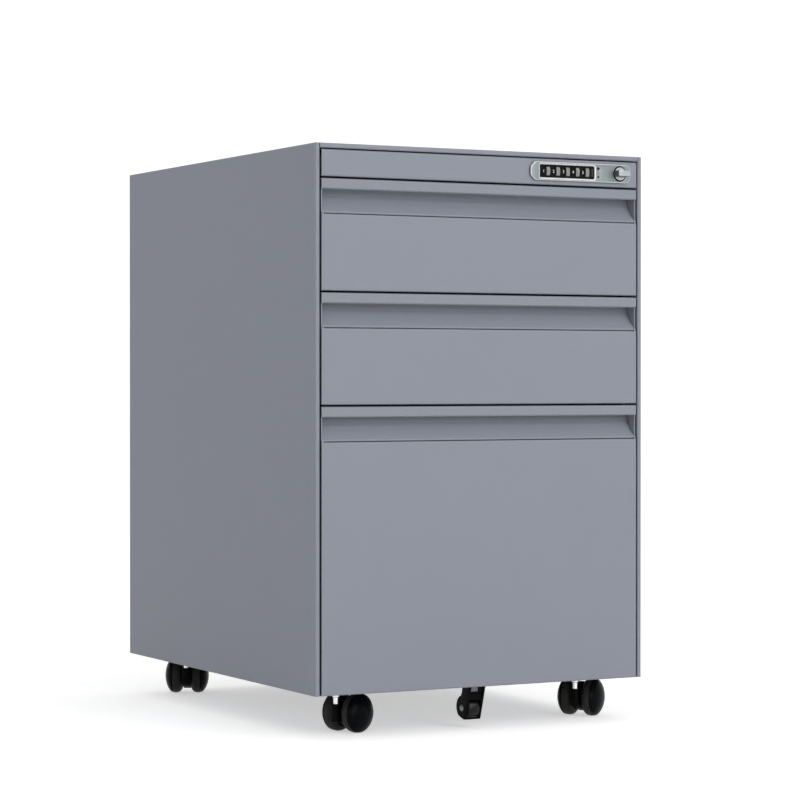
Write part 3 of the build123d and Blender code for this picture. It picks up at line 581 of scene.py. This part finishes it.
# Window: left, right, half height.
WINDOW = (66.4, 133.7, 6.75)
WINDOW_CORNER = 1.3
WINDOW_FACE = 1.8
# Insert behind the window: thickness, rounding of its corners and edges.
INSERT_SHEET = 0.3
INSERT_CORNER = 1.2
INSERT_EDGE = 0.08
# Slot over each dial: half width, half height.
SLOT = (2.5, 4.75)
SLOT_CORNER = 0.9
WINDOW_CHAMFER = (1.6, 1.0)
KNOB_CHAMFER = (0.5, 0.5)
HOLE_CHAMFER = (0.2, 0.2)
PLUG_FACE = 1.2
PLUG_AIR = 0.05
PLUG_EDGE = 0.15
KNOB_OPENING = 8.4
SPINDLE_RADIUS = 3.8
KNOB_RADIUS = 7.9
KNOB_AIR = 0.15
# Front of the knob's disc as (height, radius), and where the black material starts that paints the shadow of the
# gap round the disc as a dark ring.
KNOB_STEP = [(2.7, KNOB_RADIUS), (3.1, 7.6), (3.2, 7.0), (3.7, 6.95), (4.0, 6.6), (4.0, 0.0)]
SHADOW_RING_FROM = (-1.0, 6.98, 1)
GRIP_CORNER = 1.3
# Grip of the knob: height over the rail, half length, half thickness.
GRIP = ((3.9, 7.5, 3.5), (12.3, 7.35, 3.1), (12.75, 7.2, 2.95), (13.0, 6.9, 2.65))
DIGIT_HEIGHT = 3.5
# Half the thickness of a printed character, as a share of the font's size.
PRINT_THICKNESS = 0.01
PRINT_SINK = 0.05
# Printed number at each dial: height, and how far left of the dial's middle.
INDEX_HEIGHT = 3.2
INDEX_LEFT = 5.7
# Line at the window's right end: left side, width, half height, rounding of its corners and edges.
END_LINE = (131.2, 0.5, 4.2, 0.1, 0.03)
lock_face = placing((0, RAIL_FACE * MM, LOCK_Z * MM), (0, -1, 0))
INK = moulded("digit_ink", (0.17, 0.172, 0.175, 1), 0.5, 1500.0)
WHITE_PRINT = moulded("white_print", (0.92, 0.92, 0.92, 1), 0.5, 1500.0)


def add_bezel():
    low, high = (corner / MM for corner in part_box("lock_bezel"))
    half = (high.z - low.z) / 2
    clip = BEZEL_CLIP
    left_cut, right_cut = BEZEL_CORNERS
    outline = softened([
        (low.x, clip - half, left_cut), (low.x + clip, -half, left_cut), (high.x, -half, right_cut),
        (high.x, half, right_cut), (low.x + clip, half, left_cut), (low.x, half - clip, left_cut),
    ])
    left, right, tall = WINDOW
    holes = [rectangle((left, right), (-tall, tall), WINDOW_CORNER), circle((KNOB_X, 0), KNOB_OPENING)]
    holes += [circle((x, y), radius, HOLE_STEPS) for x, y, radius in HOLES]
    edges = [(BEZEL_BEVEL, BEZEL_BEVEL), WINDOW_CHAMFER, KNOB_CHAMFER, *[HOLE_CHAMFER for _ in HOLES]]
    casting = plate(outline, 0.0, BEZEL_PROUD, edges, holes, flat_back=True)
    # The front chamfers take the paler copy of the plate as a painted highlight.
    put("lock_bezel_casting", moved(casting, lock_face), "cabinet", [CASTING, CHAMFER_HIGHLIGHT],
        ["lock_bezel"])
    plugs = []
    for x, y, radius in HOLES:
        outline = circle((x, y), radius - PLUG_AIR, HOLE_STEPS)
        plugs.append(plate(outline, 0.0, PLUG_FACE, PLUG_EDGE))
    put("lock_hole_plugs", moved(merged(*plugs), lock_face), "cabinet", [WINDOW_BLACK] * 2)


def add_window():
    """Black insert with a rounded slot over each dial."""
    left, right, tall = WINDOW
    half, rise = SLOT
    slots = [rectangle((x - half, x + half), (-rise, rise), SLOT_CORNER) for x in DIAL_X]
    outline = rectangle((left, right), (-tall, tall), INSERT_CORNER)
    insert = plate(outline, WINDOW_FACE - INSERT_SHEET, WINDOW_FACE, INSERT_EDGE, slots)
    put("lock_window_insert", moved(insert, lock_face), "cabinet", [WINDOW_BLACK] * 2,
        ["lock_window"])


def dial_shape():
    """Thumbwheel: ten flats, a shallow rounded notch between each pair, eased rims."""
    ends = [(turn, DIAL_RADIUS, FLAT_CUT) for turn in (-DIAL_FLAT, DIAL_FLAT)]
    notch = (DIAL_STEP / 2, DIAL_NOTCH, NOTCH_CUT)
    corners = []
    for step in range(DIAL_VALUES):
        for turn, radius, cut in (*ends, notch):
            angle = math.radians(DIAL_STEP * step + turn)
            corners.append((radius * math.cos(angle), radius * math.sin(angle), cut))
    bore = circle((0, 0), SHAFT_BORE, 20)
    return plate(softened(corners, 3), -DIAL_HALF, DIAL_HALF, DIAL_RIM, [bore])


def glyph(character, height):
    """Thin closed solid of one character, centred, as tall as height, facing +Z."""
    curve = bpy.data.curves.new("glyph", "FONT")
    curve.body = character
    curve.resolution_u = 4
    curve.extrude = PRINT_THICKNESS
    text = bpy.data.objects.new("glyph", curve)
    bpy.context.scene.collection.objects.link(text)
    bpy.context.view_layer.update()
    mesh = bpy.data.meshes.new_from_object(text.evaluated_get(bpy.context.evaluated_depsgraph_get()))
    bpy.data.objects.remove(text)
    bpy.data.curves.remove(curve)
    shape = bmesh.new()
    shape.from_mesh(mesh)
    bpy.data.meshes.remove(mesh)
    bmesh.ops.remove_doubles(shape, verts=shape.verts[:], dist=MERGE)
    bmesh.ops.recalc_face_normals(shape, faces=shape.faces[:])
    low = Vector([min(v.co[i] for v in shape.verts) for i in range(3)])
    high = Vector([max(v.co[i] for v in shape.verts) for i in range(3)])
    shape.transform(Matrix.Scale(height / (high.y - low.y), 4) @ Matrix.Translation(-(low + high) / 2))
    return shape


def add_dials():
    face_distance = DIAL_RADIUS * math.cos(math.radians(DIAL_FLAT))
    for dial in DIALS:
        axis = Vector(joints[f"{dial}_turn"]["pos_m"])
        wheel = moved(dial_shape(), placing(axis, (1, 0, 0)))
        put(f"{dial}_thumbwheel", wheel, dial, [DIAL] * 2, [dial])
        digits = []
        for value in range(DIAL_VALUES):
            turn = math.radians(DIAL_STEP * value)
            outward = Vector((0, -math.cos(turn), math.sin(turn)))
            upward = Vector((0, math.sin(turn), math.cos(turn)))
            place = placing(axis + outward * face_distance * MM, outward, upward)
            digits.append(moved(glyph(str(value), DIGIT_HEIGHT), place))
        put(f"{dial}_digits", merged(*digits), dial, [INK])
    printed = []
    for number, x in enumerate(DIAL_X, start=1):
        place = lock_face @ Matrix.Translation((x - INDEX_LEFT, 0, WINDOW_FACE))
        printed.append(moved(glyph(str(number), INDEX_HEIGHT), place))
    left, width, rise, corner, edge = END_LINE
    outline = rectangle((left, left + width), (-rise, rise), corner)
    stroke = plate(outline, WINDOW_FACE - PRINT_SINK, WINDOW_FACE + PRINT_SINK, edge)
    put("window_end_line", moved(stroke, lock_face), "cabinet", [INK] * 2)
    put("index_numbers", merged(*printed), "cabinet", [WHITE_PRINT])


def add_knob():
    """Disc, tapered grip with eased edges, and the spindle behind."""
    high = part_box("lock_knob")[1] / MM
    spindle = high.y - RAIL_FACE
    profile = [(-spindle, 0.0), (-spindle, SPINDLE_RADIUS), (KNOB_AIR, SPINDLE_RADIUS)]
    # The disc's outer rim takes black as a painted shadow of the gap round it.
    disc = spun([*profile, (KNOB_AIR, KNOB_RADIUS), *KNOB_STEP], bands=(SHADOW_RING_FROM,))
    rings = []
    for height, half_long, half_thick in GRIP:
        outline = rectangle((-half_long, half_long), (-half_thick, half_thick), GRIP_CORNER)
        rings.append((height, outline))
    turn = lock_face @ Matrix.Translation((KNOB_X, 0, 0))
    grip = lofted(rings)
    for face in grip.faces:
        # The grip's side walls take the darker copy of the knob metal as painted shade.
        face.material_index = 2 if face.calc_center_median().z < GRIP[1][0] else 0
    shape = moved(merged(disc, grip), turn)
    put("lock_knob_casting", shape, "lock_knob", [KNOB_METAL, HOOD, KNOB_SIDE_SHADE], ["lock_knob"])


add_bezel()
add_window()
add_dials()
add_knob()

# ---------------------------------------------------------------- anti-tip roller
ROLLER = (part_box("anti_tip_roller")[0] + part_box("anti_tip_roller")[1]) / 2
FORK_HALF = 9.5
CHEEK = 2.4
CHEEK_EDGE = 0.6
# Cheek's outline as (depth, height, rounding), down its front and up its back past the axle's lobe.
CHEEK_FRONT = [(11.6, 58.0, 0), (12.0, 46.0, 3.0), (23.5, 9.2, 1.2), (27.4, 9.2, 0.6)]
CHEEK_BACK = [(30.0, 37.5, 2.5), (29.0, 58.0, 0)]
# Lobe: radius, first and last angle, steps, and its middle's height over the axle.
LOBE = (12.2, -50, 76, 30)
LOBE_LIFT = 0.5
AXLE_DEPTH = 30.0
# Web and toe bar between the cheeks: depth, height, corners. Their edges, and their hold in the cheeks.
WEB = ((17.5, 20.0), (30.0, 38.8), 0.7)
TOE_BAR = ((23.1, 24.5), (9.3, 11.9), 0.4)
BAR_EDGE = 0.2
BAR_HOLD = 0.5
# Rivet: radius, air round it in the fork's eyes and in the roller's bore.
RIVET_RADIUS = 2.0
EYE_AIR = 0.05
BORE_AIR = 0.07
# Rivet's head as (back from its end, radius), and the head's rim: radius, height over the cheek.
RIVET_DOME = [(0.0, 0.0), (0.15, 1.6), (0.7, 3.0)]
RIVET_RIM = (3.6, 0.2)
# Tyre's shoulder as (in from its side, radius).
TYRE_SHOULDER = [(0.0, 9.2), (0.6, 10.3), (2.2, 10.8)]


def add_anti_tip():
    """Fork with two lobed cheeks and a web, its roller, and the rivet with domed heads."""
    roller_z = ROLLER.z / MM
    front = ROLLER.y / MM - AXLE_DEPTH
    lobe = [(y, z, 0) for y, z in arc((AXLE_DEPTH, roller_z + LOBE_LIFT), *LOBE)]
    outline = softened([*CHEEK_FRONT, *lobe, *CHEEK_BACK])
    eye = circle((AXLE_DEPTH, roller_z), RIVET_RADIUS + EYE_AIR, 24)
    inner = FORK_HALF - CHEEK
    sides = ((inner, FORK_HALF), (-FORK_HALF, -inner))
    cheeks = [plate(outline, low, high, CHEEK_EDGE, [eye]) for low, high in sides]
    reach = inner + BAR_HOLD
    bars = [plate(rectangle(*bar), -reach, reach, BAR_EDGE) for bar in (WEB, TOE_BAR)]
    upright = Matrix.Scale(MM, 4) @ Matrix.Translation((0, front, 0)) @ SIDEWAYS
    fork = moved(merged(*cheeks, *bars), upright)
    put("anti_tip_fork_moulding", fork, "file_drawer", [HOOD] * 2, ["anti_tip_fork"])
    across = placing(ROLLER, (1, 0, 0))
    bore = RIVET_RADIUS + BORE_AIR
    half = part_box("anti_tip_roller")[1].x / MM
    tyre = [(half, bore), *flowing([(half - inwards, radius) for inwards, radius in TYRE_SHOULDER])]
    tyre += [(-along, radius) for along, radius in reversed(tyre)]
    put("anti_tip_roller_tyre", moved(spun([*tyre, tyre[0]]), across), "anti_tip_roller",
        [ROLLER_GLOSS], ["anti_tip_roller"])
    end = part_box("anti_tip_axle")[1].x / MM
    rim, lift = RIVET_RIM
    dome = [(end - back, radius) for back, radius in RIVET_DOME]
    head = flowing([*dome, (FORK_HALF + lift, rim)])
    rivet = [*head, (FORK_HALF, rim), (FORK_HALF, RIVET_RADIUS)]
    rivet += [(-along, radius) for along, radius in reversed(rivet)]
    # The rivet takes the darker steel as painted shade.
    put("anti_tip_rivet", moved(spun(rivet, sides=32), across), "file_drawer", [RIVET_SHADE],
        ["anti_tip_axle"])


add_anti_tip()

# ---------------------------------------------------------------- drawer fittings
DRAWERS = ("top", "middle", "file")
SHEET = 1.0
TRAY_RIM = 3.0
SLIDE_WEB = 1.2
# How far each screw stands in from the tray's side and edge.
SCREW_IN = 24.0
# Screw head: radius, height, rounding (across, down). Recess: reach and half width of each arm, edge.
SCREW_HEAD = (3.9, 1.9, (1.5, 1.1))
CROSS = (1.9, 0.45, (0.08, 0.08))
# Rivet head: radius, height, height of its rim.
RIVET_HEAD = (4.2, 0.9, 0.3)
# How far the outer rivets stand in from the slide's ends.
RIVET_ENDS = 22.0
HEAD_STEPS = 24


def screw_head():
    """Pan head with a cross recess."""
    radius, height, edge = SCREW_HEAD
    reach, half, recess_edge = CROSS
    cross = [(reach, -half), (reach, half), (half, half), (half, reach), (-half, reach), (-half, half),
             (-reach, half), (-reach, -half), (-half, -half), (-half, -reach), (half, -reach), (half, -half)]
    head = circle((0, 0), radius, HEAD_STEPS)
    return plate(head, 0.0, height, [edge, recess_edge], [cross], flat_back=True)


def rivet_head():
    """Low domed head."""
    radius, height, rim = RIVET_HEAD
    dome = [(rim, radius), (height * 0.8, radius * 0.7), (height, 0.0)]
    return spun([(0.0, 0.0), (0.0, radius), *dome], sides=HEAD_STEPS)


def add_fittings():
    """Screws that hold each front on its tray, and the rivets of the drawer members."""
    for drawer in DRAWERS:
        low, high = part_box(f"{drawer}_drawer_tray")
        wall = low.y + SHEET * MM
        screws = []
        for x in (low.x, high.x):
            for z in (low.z, high.z):
                inwards = Vector((math.copysign(SCREW_IN, -x), 0, SCREW_IN if z == low.z else -SCREW_IN))
                place = placing(Vector((x, wall, z)) + inwards * MM, (0, 1, 0))
                screws.append(moved(screw_head(), place))
        put(f"{drawer}_front_screws", merged(*screws), f"{drawer}_drawer", [ZINC] * 2)
        low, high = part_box(f"{drawer}_drawer_slides")
        half_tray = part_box(f"{drawer}_drawer_tray")[1].x - TRAY_RIM * MM
        web = half_tray + SLIDE_WEB * MM
        rivets = []
        for y in (low.y + RIVET_ENDS * MM, (low.y + high.y) / 2, high.y - RIVET_ENDS * MM):
            for side in (-1, 1):
                place = placing(Vector((side * web, y, (low.z + high.z) / 2)), (side, 0, 0))
                rivets.append(moved(rivet_head(), place))
        put(f"{drawer}_slide_rivets", merged(*rivets), f"{drawer}_drawer", [ZINC])


add_fittings()

# ---------------------------------------------------------------- camera
TARGET = Vector((0.0323, 0.0065, 0.3429))
DISTANCE = 3.022
AZIMUTH = math.radians(-27.90)
PITCH = math.radians(0.447)
LENS = 120.5
SENSOR = 36.0


def add_camera():
    camera = bpy.data.cameras.new("camera")
    camera.lens = LENS
    camera.sensor_width = SENSOR
    seen = bpy.data.objects.new("camera", camera)
    bpy.context.scene.collection.objects.link(seen)
    level = math.cos(PITCH)
    away = Vector((math.sin(AZIMUTH) * level, -math.cos(AZIMUTH) * level, math.sin(PITCH)))
    seen.location = TARGET + away * DISTANCE
    seen.rotation_euler = (-away).to_track_quat("-Z", "Y").to_euler()
    bpy.context.scene.camera = seen


add_camera()

# ---------------------------------------------------------------- light
WORLD_LIGHT = 0.75
KEY_POWER = 66.0
KEY_PLACE = Vector((1.7, -4.9, 3.1))
KEY_SIZE = 3.0
FILL_POWER = 36.0
FILL_PLACE = Vector((0.9, -5.4, 0.9))
FILL_SIZE = 1.6
LAMPS_AIM = Vector((0, 0, 0.3))
# Floor in metres: radius, height of the backdrop, radius of the bend between them.
FLOOR = (7.0, 5.0, 1.5)
FLOOR_PATCHES = 1.5
FLOOR_TONES = (0.82, 0.85)
FLOOR_GLOW = 0.5


def seen_directly(tree):
    """1 for camera, mirror and glass rays, 0 for the rays that carry light."""
    path = tree.nodes.new("ShaderNodeLightPath")
    seen = path.outputs["Is Camera Ray"]
    for ray in ("Is Glossy Ray", "Is Transmission Ray"):
        either = tree.nodes.new("ShaderNodeMath")
        either.operation = "MAXIMUM"
        tree.links.new(seen, either.inputs[0])
        tree.links.new(path.outputs[ray], either.inputs[1])
        seen = either.outputs["Value"]
    return seen


def add_world():
    world = bpy.data.worlds.new("studio")
    bpy.context.scene.world = world
    world.use_nodes = True
    tree = world.node_tree
    background = tree.nodes["Background"]
    background.inputs["Color"].default_value = grey(1.0)
    strength = tree.nodes.new("ShaderNodeMapRange")
    strength.inputs["To Min"].default_value = WORLD_LIGHT
    strength.inputs["To Max"].default_value = 1.0
    tree.links.new(seen_directly(tree), strength.inputs["Value"])
    tree.links.new(strength.outputs["Result"], background.inputs["Strength"])


def add_lamp(name, place, size, power):
    lamp = bpy.data.lights.new(name, "AREA")
    lamp.shape = "DISK"
    lamp.size = size
    lamp.energy = power
    made = bpy.data.objects.new(name, lamp)
    bpy.context.scene.collection.objects.link(made)
    made.location = place
    made.rotation_euler = (LAMPS_AIM - place).to_track_quat("-Z", "Y").to_euler()


def add_floor():
    """Pale round floor that rises into a backdrop on all sides."""
    radius, height, bend = FLOOR
    profile = [(0.0, 0.0), (0.0, radius - bend)]
    profile += [(z, r) for r, z in arc((radius - bend, bend), bend, -80, 0, 8)]
    profile.append((height, radius))
    floor = spun(profile, sides=60)
    mesh = bpy.data.meshes.new("floor")
    floor.to_mesh(mesh)
    floor.free()
    mesh.shade_smooth()
    paper = Shading("floor_paper", Specular_IOR_Level=0.0, Roughness=0.9)
    tone = paper.noise(FLOOR_PATCHES)
    paper.drive("Base Color", paper.blend(tone, *(grey(share) for share in FLOOR_TONES)))
    paper.shader.inputs["Emission Color"].default_value = grey(1.0)
    paper.drive("Emission Strength", paper.spread(seen_directly(paper.tree), 0.0, FLOOR_GLOW))
    mesh.materials.append(paper.material)
    made = bpy.data.objects.new("floor", mesh)
    bpy.context.scene.collection.objects.link(made)


add_world()
add_lamp("key", KEY_PLACE, KEY_SIZE, KEY_POWER)
add_lamp("fill", FILL_PLACE, FILL_SIZE, FILL_POWER)
add_floor()
bpy.context.scene.view_settings.view_transform = "Standard"
